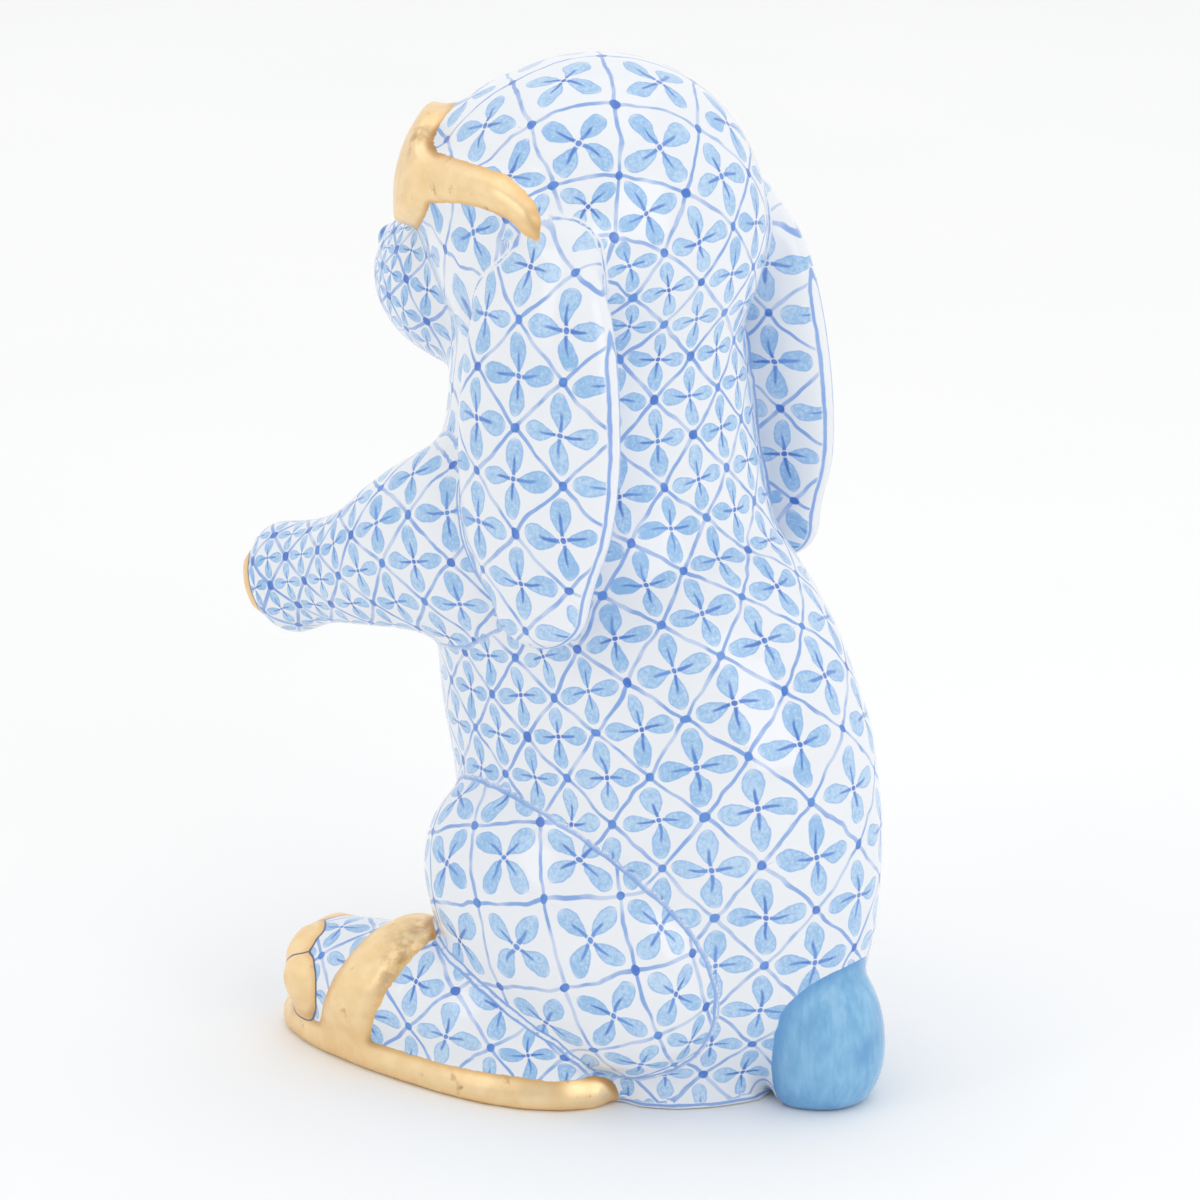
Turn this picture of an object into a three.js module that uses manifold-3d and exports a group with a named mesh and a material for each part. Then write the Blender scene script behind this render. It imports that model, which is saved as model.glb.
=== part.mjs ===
// Glazed porcelain rabbit sitting up on its haunches, with lop ears, gilded sunglasses and gilded sandals.
// Millimetres, +Z up. The rabbit looks along -Y and its left side is +X.
// The real figurine is slip-cast in sections that are luted together, so each section is a solid of its own,
// and the gilded relief on it (glasses, soles, straps, claws) is a solid that seats on the section below it.

import * as THREE from "three";
import { mergeVertices, toCreasedNormals } from "three/addons/utils/BufferGeometryUtils.js";
import Module from "manifold-3d";

const wasm = await Module();
wasm.setup();

// Joints and finish
const SEAM = 0.3; // slip joint between two cast sections, and under every gilded relief
const GROUND = 0; // level that the base is ground flat to

// How far the limbs reach: each foot's centre line from the middle plane, the toes and the paws from the ears' line
const STANCE = 13.0;
const FOOT_REACH = 19.8;
const ARM_REACH = 27.9;

// Neck joint
const NECK_HEIGHT = 60;
const NECK_HALF_WIDTH = 13.8;
const NECK_HALF_DEPTH = 12.9;

// Torso: half sizes of its level sections, and how far each lies behind the ears' line
const TORSO = {
  underside: { height: -4, back: 5.6, halfWidth: 12.0, halfDepth: 12.6 },
  seat: { height: 2, back: 6.1, halfWidth: 13.4, halfDepth: 14.5 },
  tailLine: { height: 8, back: 6.8, halfWidth: 14.4, halfDepth: 17.2 },
  rump: { height: 13, back: 7.5, halfWidth: 14.8, halfDepth: 19.4 },
  hips: { height: 20, back: 7.7, halfWidth: 15.0, halfDepth: 20.3 },
  belly: { height: 28, back: 6.9, halfWidth: 15.0, halfDepth: 20.4 },
  ribs: { height: 37, back: 3.4, halfWidth: 15.0, halfDepth: 18.7 },
  chest: { height: NECK_HEIGHT - 15, back: 0.7, halfWidth: 14.8, halfDepth: 15.8 },
  shoulders: { height: NECK_HEIGHT - 8, back: 0.1, halfWidth: 14.6, halfDepth: 14.2 },
  neck: { height: NECK_HEIGHT, back: 0, halfWidth: NECK_HALF_WIDTH, halfDepth: NECK_HALF_DEPTH },
  throat: { height: NECK_HEIGHT + 6, back: 0, halfWidth: NECK_HALF_WIDTH, halfDepth: NECK_HALF_DEPTH },
};

// Head: four rounded masses that flow into one another, and how far each rises over the neck joint
const NECK_RISE = 14;
const SKULL = { y: 0, rise: 14.7, rx: 15.0, ry: 14.3, rz: 15.1 };
const BROW = { y: -5.8, rise: 17.0, rx: 11.8, ry: 10.8, rz: 10.4 };
const MUZZLE = { y: -11.8, rise: 8.2, rx: 7.9, ry: 12.0, rz: 8.2 };
const NECK = { y: 0, rise: 0, rx: NECK_HALF_WIDTH, ry: NECK_HALF_DEPTH, rz: NECK_RISE };
const HEAD_CORE = new THREE.Vector3(0, MUZZLE.y / 3, NECK_HEIGHT + 0.86 * NECK_RISE);
const HEAD_BLEND = 18;

// Ear: a long flat leaf that hangs from the side of the skull over the shoulder, from above the neck joint
const EAR = {
  root: { x: 13.0, y: 4.4, rise: 16.6, halfThick: 1.8, halfWidth: 4.6 },
  temple: { x: 14.2, y: 4.8, rise: 12.0, halfThick: 2.7, halfWidth: 6.8 },
  cheek: { x: 15.0, y: 5.0, rise: 5.6, halfThick: 3.3, halfWidth: 8.0 },
  throat: { x: 15.7, y: 5.3, rise: -2.0, halfThick: 3.3, halfWidth: 8.4 },
  shoulder: { x: 16.5, y: 5.8, rise: -9.2, halfThick: 2.9, halfWidth: 7.4 },
  tip: { x: 17.0, y: 6.7, rise: -14.6, halfThick: 2.4, halfWidth: 4.8 },
};
const EAR_TOP_CAP = 2.0;
const EAR_TIP_CAP = 3.4;

// Arm: from the shoulder below the neck joint down and forwards to the paw
const ARM = {
  root: { x: 10.6, y: 4.5, drop: 11.4, halfThick: 5.0, halfWidth: 8.2 },
  upper: { x: 11.4, y: -3.5, drop: 11.8, halfThick: 5.4, halfWidth: 10.1 },
  elbow: { x: 11.2, y: -0.39 * ARM_REACH, drop: 13.6, halfThick: 5.2, halfWidth: 8.0 },
  forearm: { x: 10.4, y: -0.645 * ARM_REACH, drop: 16.5, halfThick: 4.6, halfWidth: 5.6 },
  wrist: { x: 9.7, y: -0.84 * ARM_REACH, drop: 18.2, halfThick: 4.2, halfWidth: 4.7 },
  paw: { x: 9.3, y: -ARM_REACH, drop: 19.7, halfThick: 4.2, halfWidth: 5.2 },
};
const ARM_ROOT_CAP = 4;
const PAW_CAP = 2.8;

// Haunch: a folded thigh above the foot, higher at the knee than at the rump
const HAUNCH = { inside: 1.8, y: 5.4, z: 15.5, halfThick: 8.0, halfLength: 16.2, halfHeight: 11.8, tilt: 29 };

// Foot: half sizes of its upright sections from toe to heel, and how far each lies outside the foot's centre line
const FOOT = {
  toes: { aside: 0, y: -FOOT_REACH, z: 5.6, halfWidth: 5.5, halfHeight: 5.0 },
  ball: { aside: 0.3, y: -0.76 * FOOT_REACH, z: 5.7, halfWidth: 6.0, halfHeight: 5.6 },
  arch: { aside: 0.5, y: -8.5, z: 5.7, halfWidth: 6.4, halfHeight: 6.0 },
  instep: { aside: 0.4, y: -1, z: 5.6, halfWidth: 6.5, halfHeight: 6.4 },
  heel: { aside: -0.6, y: 5, z: 5.0, halfWidth: 5.8, halfHeight: 5.0 },
};
const TOE_CAP = 3.6;
const HEEL_CAP = 5.2;

// Sandal
const SOLE_THICKNESS = 2.4;
const SOLE_ROUNDING = 0.7;
const TOE_END = 6.2; // sole in front of the toes' section
const SOLE_OUTLINE = [
  [-0.8, -FOOT_REACH - TOE_END],
  [3.4, -FOOT_REACH - 0.6 * TOE_END],
  [6.2, -16.5],
  [7.3, -7.0],
  [7.1, 2.0],
  [4.2, 9.0],
  [-0.4, 11.2],
  [-4.4, 9.0],
  [-6.2, 2.0],
  [-6.3, -8.0],
  [-6.1, -17.0],
  [-4.8, -FOOT_REACH - 0.58 * TOE_END],
];
const STRAP_RISE = 1.1;
const STRAP_WIDTH = 5.0;
const STRAP_SPOT = -12.8;
const STRAP_LEAN = 22;

// Claws: gilded ovals over the ends of the toes and of the paws
const CLAW_COUNT = 3;
const CLAW_RISE = 0.6;
const CLAW_DEPTH = 3;
const TOE_CLAW_SPREAD = 55;
const TOE_CLAW_TURN = 32;
const TOE_CLAW_RADIUS = 2.5;
const PAW_CLAW_PITCH = 2.5;
const PAW_CLAW_HALF_WIDTH = 1.1;
const PAW_CLAW_HALF_HEIGHT = 2.9;

// Sunglasses: their outlines are set out from the height of the lens's inner end
const LENS_LIFT = 19.2;
const LENS_HEIGHT = NECK_HEIGHT + LENS_LIFT;
const LENS_RISE = 2.0;
const BRIDGE_RISE = 1.5;
const TEMPLE_RISE = 1.3;
const LENS_INNER = 1.6;
const LENS_OUTLINE = [
  [0, 0],
  [0.4, 4.4],
  [4.0, 5.5],
  [8.8, 4.2],
  [11.6, 1.2],
  [11.2, -1.9],
  [8.4, -4.3],
  [4.4, -4.5],
  [1.2, -2.8],
];
const LENS_SIDE = [
  [-26, 8.4],
  [-12.0, 8.4],
  [-11.7, 5.0],
  [-11.2, 2.9],
  [-9.4, 2.2],
  [-8.7, 0.8],
  [-9.0, -0.6],
  [-10.0, -2.2],
  [-11.8, -3.8],
  [-14.4, -5.4],
  [-18.0, -7.0],
  [-26, -8.4],
];
const BRIDGE_HALF_HEIGHT = 1.1;
const BRIDGE_LIFT = 1.4;
const TEMPLE_OUTLINE = [
  [-10.6, 1.8],
  [-5.0, 2.5],
  [0.4, 2.2],
  [3.6, 0.8],
  [5.2, -1.2],
  [5.6, -2.6],
  [4.4, -2.7],
  [3.2, -1.4],
  [1.4, -0.3],
  [-1.2, 0.2],
  [-5.4, 0.0],
  [-10.6, -0.8],
];
const TEMPLE_INNER = 4;

// Nose: a low swelling let into the tip of the muzzle
const NOSE = { inset: 0.8, rise: 2.4, halfWidth: 1.9, halfDepth: 1.2, halfHeight: 1.3 };

// Vent in the base, which lets the hot air out of the hollow cast body
const VENT = { y: 4, radius: 2, depth: 4 };

// Tail: an egg with its point uppermost, whose axis stands a little behind the rump
const TAIL = { behind: 0.7, halfWidth: 5.5, halfDepth: 5.2, widest: 4.8, height: 14.0 };

// Reach of the blocks that cut the sections, past the whole figurine
const REACH = 60;

// Facets round each section
const SIDES = { torso: 32, head: 36, ear: 16, arm: 18, haunch: 24, foot: 20, tail: 18, claw: 9 };

// Turns a closed three.js geometry into a solid that can be joined and cut.
function solid(geometry) {
  const bare = geometry.index ? geometry.clone() : geometry;
  for (const attribute of ["normal", "uv"]) {
    if (bare.getAttribute(attribute)) {
      bare.deleteAttribute(attribute);
    }
  }
  const merged = mergeVertices(bare, 1e-4);
  return new wasm.Manifold(new wasm.Mesh({
    numProp: 3,
    vertProperties: new Float32Array(merged.attributes.position.array),
    triVerts: new Uint32Array(merged.index.array),
  }));
}

// Turns a solid back into a three.js geometry.
function geometryOf(body) {
  const { vertProperties, triVerts } = body.getMesh();
  const geometry = new THREE.BufferGeometry();
  geometry.setAttribute("position", new THREE.BufferAttribute(vertProperties, 3));
  geometry.setIndex(new THREE.BufferAttribute(triVerts, 1));
  return geometry;
}

// A block between two corners.
function block(low, high) {
  const size = high.map((value, i) => value - low[i]);
  const middle = high.map((value, i) => (value + low[i]) / 2);
  return new THREE.BoxGeometry(...size).translate(...middle);
}

// Skins a run of oval sections. Each section stands square to the path, with its first half size
// along X and its second square to that, and both ends are closed by rounded caps.
function loft(sections, { sides, steps, startCap, endCap, grow = 0, capSteps = 4 }) {
  const path = new THREE.CatmullRomCurve3(sections.map((s) => new THREE.Vector3(s.x, s.y, s.z)));
  const sizes = new THREE.SplineCurve(sections.map((s) => new THREE.Vector2(s.first, s.second)));
  const rings = [];
  const addRing = (t, along, scale) => {
    const tangent = path.getTangent(t).normalize();
    const first = new THREE.Vector3(1, 0, 0).addScaledVector(tangent, -tangent.x).normalize();
    const second = new THREE.Vector3().crossVectors(tangent, first);
    const size = sizes.getPoint(t);
    const centre = path.getPoint(t).addScaledVector(tangent, along);
    const ring = [];
    for (let i = 0; i < sides; i += 1) {
      const angle = (2 * Math.PI * i) / sides;
      ring.push(centre.clone()
        .addScaledVector(first, Math.cos(angle) * (size.x + grow) * scale)
        .addScaledVector(second, Math.sin(angle) * (size.y + grow) * scale));
    }
    rings.push({ centre, ring });
  };
  for (let i = capSteps; i > 0; i -= 1) {
    const turn = (Math.PI / 2) * (i / capSteps);
    addRing(0, -(startCap + grow) * Math.sin(turn), Math.cos(turn));
  }
  for (let i = 0; i <= steps; i += 1) {
    addRing(i / steps, 0, 1);
  }
  for (let i = 1; i <= capSteps; i += 1) {
    const turn = (Math.PI / 2) * (i / capSteps);
    addRing(1, (endCap + grow) * Math.sin(turn), Math.cos(turn));
  }
  const points = [rings[0].centre];
  for (const { ring } of rings.slice(1, -1)) {
    points.push(...ring);
  }
  points.push(rings[rings.length - 1].centre);
  const last = points.length - 1;
  const bands = rings.length - 2;
  const faces = [];
  for (let i = 0; i < sides; i += 1) {
    const next = (i + 1) % sides;
    faces.push(0, 1 + next, 1 + i);
    for (let band = 0; band < bands - 1; band += 1) {
      const low = 1 + band * sides;
      const high = low + sides;
      faces.push(low + i, low + next, high + next, low + i, high + next, high + i);
    }
    const top = 1 + (bands - 1) * sides;
    faces.push(last, top + i, top + next);
  }
  const geometry = new THREE.BufferGeometry().setFromPoints(points);
  geometry.setIndex(faces);
  return geometry;
}

// Distance from the head's core to where a ray along a direction leaves one rounded mass.
function exitDistance(direction, mass, grow) {
  const radii = new THREE.Vector3(mass.rx + grow, mass.ry + grow, mass.rz + grow);
  const start = HEAD_CORE.clone().sub(new THREE.Vector3(0, mass.y, NECK_HEIGHT + mass.rise)).divide(radii);
  const step = direction.clone().divide(radii);
  const a = step.dot(step);
  const b = start.dot(step);
  const c = start.dot(start) - 1;
  return (-b + Math.sqrt(b * b - a * c)) / a;
}

// The head: a sphere with a pole at the muzzle, whose every point is pushed out to the blended skin of the masses.
function headSkin(grow) {
  const lean = Math.atan2(HEAD_CORE.z - NECK_HEIGHT - MUZZLE.rise, HEAD_CORE.y - MUZZLE.y);
  const geometry = new THREE.SphereGeometry(1, SIDES.head, SIDES.head * 0.7).rotateX(lean);
  const place = geometry.attributes.position;
  for (let i = 0; i < place.count; i += 1) {
    const direction = new THREE.Vector3().fromBufferAttribute(place, i).normalize();
    let sum = 0;
    for (const mass of [SKULL, BROW, MUZZLE, NECK]) {
      sum += exitDistance(direction, mass, grow) ** HEAD_BLEND;
    }
    const point = direction.multiplyScalar(sum ** (1 / HEAD_BLEND)).add(HEAD_CORE);
    place.setXYZ(i, point.x, point.y, point.z);
  }
  return solid(geometry);
}

function torsoSkin(grow) {
  const sections = Object.values(TORSO).map((s) => ({ x: 0, y: s.back, z: s.height, first: s.halfWidth, second: s.halfDepth }));
  return solid(loft(sections, { sides: SIDES.torso, steps: 18, startCap: 1, endCap: 1, grow, capSteps: 2 }));
}

function armSkin(grow) {
  const sections = Object.values(ARM).map((s) => ({ x: s.x, y: s.y, z: NECK_HEIGHT - s.drop, first: s.halfThick, second: s.halfWidth }));
  return solid(loft(sections, { sides: SIDES.arm, steps: 12, startCap: ARM_ROOT_CAP, endCap: PAW_CAP, grow }));
}

function earSkin() {
  const sections = Object.values(EAR).map((s) => ({ x: s.x, y: s.y, z: NECK_HEIGHT + s.rise, first: s.halfThick, second: s.halfWidth }));
  return solid(loft(sections, { sides: SIDES.ear, steps: 14, startCap: EAR_TOP_CAP, endCap: EAR_TIP_CAP }));
}

function footSkin(grow) {
  const sections = Object.values(FOOT).map((s) => ({ x: STANCE + s.aside, y: s.y, z: s.z, first: s.halfWidth, second: s.halfHeight }));
  return solid(loft(sections, { sides: SIDES.foot, steps: 10, startCap: TOE_CAP, endCap: HEEL_CAP, grow }));
}

function haunchSkin(grow) {
  const geometry = new THREE.SphereGeometry(1, SIDES.haunch, SIDES.haunch * 0.65)
    .scale(HAUNCH.halfThick + grow, HAUNCH.halfLength + grow, HAUNCH.halfHeight + grow)
    .rotateX(THREE.MathUtils.degToRad(-HAUNCH.tilt))
    .translate(STANCE - HAUNCH.inside, HAUNCH.y, HAUNCH.z);
  return solid(geometry);
}

function tailSkin() {
  const y = TORSO.tailLine.back + TORSO.tailLine.halfDepth + TAIL.behind;
  const profile = [];
  const steps = 12;
  for (let i = 0; i <= steps; i += 1) {
    const turn = (Math.PI * i) / steps - Math.PI / 2;
    const rise = Math.sin(turn);
    const reach = rise < 0 ? TAIL.widest + 2 : TAIL.height - TAIL.widest;
    const swell = rise < 0 ? Math.cos(turn) : Math.cos(turn) ** 1.15;
    profile.push(new THREE.Vector2(i % steps === 0 ? 0 : TAIL.halfWidth * swell, TAIL.widest + reach * rise));
  }
  const geometry = new THREE.LatheGeometry(profile, SIDES.tail)
    .rotateX(Math.PI / 2)
    .scale(1, TAIL.halfDepth / TAIL.halfWidth, 1)
    .translate(0, y, 0);
  return solid(geometry);
}

// An oval solid centred on a point.
function oval(x, y, z, halfX, halfY, halfZ) {
  const geometry = new THREE.SphereGeometry(1, SIDES.claw, SIDES.claw * 0.75)
    .rotateX(Math.PI / 2)
    .scale(halfX, halfY, halfZ)
    .translate(x, y, z);
  return solid(geometry);
}

function noseSkin(grow) {
  const y = MUZZLE.y - MUZZLE.ry + NOSE.inset;
  return oval(0, y, NECK_HEIGHT + MUZZLE.rise + NOSE.rise, NOSE.halfWidth + grow, NOSE.halfDepth + grow, NOSE.halfHeight + grow);
}

// A smooth closed outline through a few points.
function outline(points) {
  const curve = new THREE.CatmullRomCurve3(points.map(([x, y]) => new THREE.Vector3(x, y, 0)), true);
  return new THREE.Shape(curve.getPoints(points.length * 2).slice(0, -1).map((p) => new THREE.Vector2(p.x, p.y)));
}

// A prism of a smooth outline, with its sides moved outwards by a distance.
function prism(points, from, to, grow) {
  const shape = outline(points);
  const bevel = { bevelEnabled: grow > 0, bevelThickness: grow, bevelSize: grow, bevelSegments: 1 };
  return new THREE.ExtrudeGeometry(shape, { depth: to - from, steps: 1, ...bevel });
}

// A prism whose outline lies in the front view (X, Z) and which runs back along +Y.
function frontPrism(points, from, to, grow = 0) {
  return solid(prism(points, from, to, grow).rotateX(Math.PI / 2).translate(0, to, 0));
}

// A prism whose outline lies in the side view (Y, Z) and which runs out along +X.
function sidePrism(points, from, to, grow = 0) {
  return solid(prism(points, from, to, grow).rotateX(Math.PI / 2).rotateZ(Math.PI / 2).translate(from, 0, 0));
}

function lensPrism(grow = 0) {
  const front = frontPrism(LENS_OUTLINE.map(([x, z]) => [x + LENS_INNER, z + LENS_HEIGHT]), -REACH, 0, grow);
  return front.intersect(sidePrism(LENS_SIDE.map(([y, z]) => [y, z + LENS_HEIGHT]), 0, REACH, grow));
}

function templePrism(grow = 0) {
  return sidePrism(TEMPLE_OUTLINE.map(([y, z]) => [y, z + LENS_HEIGHT]), TEMPLE_INNER, REACH, grow);
}

const underground = solid(block([-REACH, -REACH, GROUND - REACH], [REACH, REACH, GROUND]));
const porcelain = new THREE.MeshStandardMaterial({ color: 0xf2f4f8, roughness: 0.16 });
const blueGlaze = new THREE.MeshStandardMaterial({ color: 0x73a8d6, roughness: 0.16 });
const gilding = new THREE.MeshStandardMaterial({ color: 0xe6bf7a, roughness: 0.3, metalness: 1 });

const figurine = new THREE.Group();

function addPiece(name, body, material) {
  const mesh = new THREE.Mesh(toCreasedNormals(geometryOf(body), 0.6), material.clone());
  mesh.name = name;
  figurine.add(mesh);
}

// Adds a left piece and its mirror image on the right.
function addPair(name, body, material) {
  addPiece(`${name}_left`, body, material);
  const geometry = geometryOf(body).scale(-1, 1, 1);
  const order = geometry.index.array;
  for (let i = 0; i < order.length; i += 3) {
    [order[i], order[i + 1]] = [order[i + 1], order[i]];
  }
  addPiece(`${name}_right`, solid(geometry), material);
}

// Cast sections
const aboveNeck = solid(block([-REACH, -REACH, NECK_HEIGHT], [REACH, REACH, NECK_HEIGHT + REACH]));
const belowHead = solid(block([-REACH, -REACH, NECK_HEIGHT - REACH], [REACH, REACH, NECK_HEIGHT + SEAM]));
const vent = new THREE.CylinderGeometry(VENT.radius, VENT.radius, 2 * VENT.depth, 16)
  .rotateX(Math.PI / 2)
  .translate(0, VENT.y, GROUND);
const torso = torsoSkin(0).subtract(underground).subtract(aboveNeck).subtract(solid(vent));
const head = headSkin(0).add(noseSkin(0)).subtract(belowHead);
const soleTop = SOLE_THICKNESS + SEAM;
const sandalSpace = solid(block([-REACH, -REACH, -REACH], [REACH, REACH, soleTop]));

const foot = footSkin(0).subtract(sandalSpace).subtract(torsoSkin(SEAM));
const haunch = haunchSkin(0)
  .subtract(underground)
  .subtract(torsoSkin(SEAM))
  .subtract(footSkin(SEAM));
const arm = armSkin(0).subtract(torsoSkin(SEAM));
const ear = earSkin()
  .subtract(headSkin(SEAM))
  .subtract(torsoSkin(SEAM))
  .subtract(armSkin(SEAM))
  .subtract(headSkin(TEMPLE_RISE + SEAM).intersect(templePrism(SEAM)));
const tail = tailSkin().subtract(underground).subtract(torsoSkin(SEAM));

addPiece("torso", torso, porcelain);
addPiece("head", head, porcelain);
addPair("ear", ear, porcelain);
addPair("arm", arm, porcelain);
addPair("haunch", haunch, porcelain);
addPair("foot", foot, porcelain);
addPiece("tail", tail, blueGlaze);

// Sandals: a sole under each foot, and one strap over it
const soleShape = outline(SOLE_OUTLINE.map(([x, y]) => [x + STANCE, y]));
const soleSlab = new THREE.ExtrudeGeometry(soleShape, {
  depth: SOLE_THICKNESS - 2 * SOLE_ROUNDING,
  bevelEnabled: true,
  bevelThickness: SOLE_ROUNDING,
  bevelSize: SOLE_ROUNDING,
  bevelOffset: -SOLE_ROUNDING,
  bevelSegments: 2,
  steps: 1,
}).translate(0, 0, SOLE_ROUNDING);
const sole = solid(soleSlab).subtract(torsoSkin(SEAM)).subtract(haunchSkin(SEAM));
const strapBand = block([0, -STRAP_WIDTH / 2, -REACH], [REACH, STRAP_WIDTH / 2, REACH])
  .rotateX(THREE.MathUtils.degToRad(-STRAP_LEAN))
  .translate(0, STRAP_SPOT, FOOT.arch.z);
const strap = footSkin(STRAP_RISE)
  .intersect(solid(strapBand))
  .subtract(footSkin(SEAM))
  .subtract(haunchSkin(SEAM))
  .subtract(sandalSpace);

addPair("sandal_sole", sole, gilding);
addPair("sandal_strap", strap, gilding);

// Claws
const toe = FOOT.toes;
function toeClaw(i, grow) {
  const turn = THREE.MathUtils.degToRad(TOE_CLAW_TURN + (i - (CLAW_COUNT - 1) / 2) * TOE_CLAW_SPREAD);
  const x = STANCE + toe.aside + Math.sin(turn) * (toe.halfWidth - 1.2);
  const y = toe.y - Math.cos(turn) * TOE_CAP * 0.5 - 0.1;
  const z = toe.z + Math.cos(turn) * (toe.halfHeight - 2.2);
  const radius = TOE_CLAW_RADIUS + grow;
  return oval(x, y, z, radius, radius, radius);
}
for (let i = 0; i < CLAW_COUNT; i += 1) {
  const claw = toeClaw(i, 0)
    .intersect(footSkin(CLAW_RISE))
    .subtract(footSkin(SEAM))
    .subtract(toeClaw(i + 1, SEAM))
    .subtract(sandalSpace);
  addPair(`toe_claw_${i + 1}`, claw, gilding);
}

const paw = { ...ARM.paw, z: NECK_HEIGHT - ARM.paw.drop };
for (let i = 0; i < CLAW_COUNT; i += 1) {
  const aside = (i - (CLAW_COUNT - 1) / 2) * PAW_CLAW_PITCH;
  const y = paw.y - PAW_CAP * Math.sqrt(1 - (aside / paw.halfThick) ** 2) - 0.1;
  const claw = oval(paw.x + aside, y, paw.z - 0.4, PAW_CLAW_HALF_WIDTH, CLAW_DEPTH, PAW_CLAW_HALF_HEIGHT)
    .intersect(armSkin(CLAW_RISE))
    .subtract(armSkin(SEAM));
  addPair(`paw_claw_${i + 1}`, claw, gilding);
}

// Sunglasses: two lenses, a bridge between them and a temple over each cheek to the ear
const face = headSkin(SEAM).add(noseSkin(SEAM));
const lens = headSkin(LENS_RISE).intersect(lensPrism()).subtract(face);
const temple = headSkin(TEMPLE_RISE).intersect(templePrism()).subtract(face).subtract(lensPrism(SEAM));
const bridgeLow = LENS_HEIGHT + BRIDGE_LIFT - BRIDGE_HALF_HEIGHT;
const bridgeHigh = LENS_HEIGHT + BRIDGE_LIFT + BRIDGE_HALF_HEIGHT;
const bridgeReach = LENS_INNER - SEAM;
const bridge = headSkin(BRIDGE_RISE)
  .intersect(solid(block([-bridgeReach, -REACH, bridgeLow], [bridgeReach, HEAD_CORE.y, bridgeHigh])))
  .subtract(face);

addPair("lens", lens, gilding);
addPair("temple", temple, gilding);
addPiece("bridge", bridge, gilding);

// Rests the figurine on the ground with its box centred over the origin.
const box = new THREE.Box3().setFromObject(figurine);
const middle = box.getCenter(new THREE.Vector3());
figurine.position.set(-middle.x, -middle.y, -box.min.z);
figurine.updateMatrixWorld(true);

export default figurine;
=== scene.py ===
# %% [markdown]
# # A hand-painted porcelain rabbit in gilded sunglasses and sandals
# The real figurine is slip-cast porcelain. Its sections are cast in plaster moulds and luted together while
# the clay is soft, so that every joint is smoothed over by a wet sponge. It is then painted in blue, glazed
# and fired, and the gold is painted on the raised details last of all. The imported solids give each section
# its size and place, and this script does what the sponge, the brush and the kiln do.

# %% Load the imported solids
import math

import bpy
import numpy as np
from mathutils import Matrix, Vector
from mathutils.bvhtree import BVHTree
from mathutils.kdtree import KDTree


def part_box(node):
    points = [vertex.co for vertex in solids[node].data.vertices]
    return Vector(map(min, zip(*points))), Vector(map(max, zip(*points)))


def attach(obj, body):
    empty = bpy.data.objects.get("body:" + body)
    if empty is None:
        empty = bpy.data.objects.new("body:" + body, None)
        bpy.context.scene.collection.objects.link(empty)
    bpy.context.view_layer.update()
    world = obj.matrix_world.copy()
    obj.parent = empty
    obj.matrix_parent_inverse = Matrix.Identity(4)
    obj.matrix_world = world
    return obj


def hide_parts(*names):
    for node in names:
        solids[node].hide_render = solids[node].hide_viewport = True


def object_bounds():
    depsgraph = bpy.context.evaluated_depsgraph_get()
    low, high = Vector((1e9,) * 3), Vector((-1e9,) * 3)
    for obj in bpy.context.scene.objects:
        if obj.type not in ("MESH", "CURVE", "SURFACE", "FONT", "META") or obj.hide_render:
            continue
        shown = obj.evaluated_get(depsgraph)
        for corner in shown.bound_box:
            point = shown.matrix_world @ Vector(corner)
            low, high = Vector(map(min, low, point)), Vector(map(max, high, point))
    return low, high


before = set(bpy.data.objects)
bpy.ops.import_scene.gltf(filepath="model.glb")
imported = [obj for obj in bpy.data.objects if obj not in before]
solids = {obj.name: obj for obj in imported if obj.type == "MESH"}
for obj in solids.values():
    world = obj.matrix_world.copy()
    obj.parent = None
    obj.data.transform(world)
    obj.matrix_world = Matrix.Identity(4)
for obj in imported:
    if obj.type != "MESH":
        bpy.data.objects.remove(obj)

MM = 0.001
cad_low, cad_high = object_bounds()
print(f"{len(solids)} solids, {(cad_high - cad_low) / MM} mm")

# %% [markdown]
# ## Camera
# The photograph was taken with a long lens, from behind the rabbit's left side and a little above it. The
# camera comes first, because everything that follows is judged through it.

# %% Camera
FOCUS = Vector((0, 0.84, 41)) * MM
AZIMUTH, ELEVATION, DISTANCE = math.radians(127), math.radians(17), 480 * MM
SENSOR = 36  # millimetres
PICTURE, FOCAL = 1200, 5440  # the picture's width and the focal length in pixels
outwards = Vector((
    math.sin(AZIMUTH) * math.cos(ELEVATION),
    -math.cos(AZIMUTH) * math.cos(ELEVATION),
    math.sin(ELEVATION),
))
bpy.ops.object.camera_add(location=FOCUS + outwards * DISTANCE)
camera = bpy.context.object
camera.rotation_mode = "QUATERNION"
camera.rotation_quaternion = (-outwards).to_track_quat("-Z", "Y")
camera.data.sensor_width = SENSOR
camera.data.lens = SENSOR * FOCAL / PICTURE
camera.data.clip_start, camera.data.clip_end = 0.01, 20
camera.data.dof.use_dof = False
bpy.context.scene.camera = camera
print("camera at", [round(value, 3) for value in camera.location], "lens", round(camera.data.lens, 1))

# %% [markdown]
# ## Copies in soft clay
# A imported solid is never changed. Each piece starts as a copy of its solid, whose loose triangles are
# welded first. The copies can then be worked with modifiers, as a modeller works clay that is still soft.

# %% Welded copies and applied modifiers
def select_only(*pieces):
    bpy.ops.object.select_all(action="DESELECT")
    for piece in pieces:
        piece.select_set(True)
    bpy.context.view_layer.objects.active = pieces[0]


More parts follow.
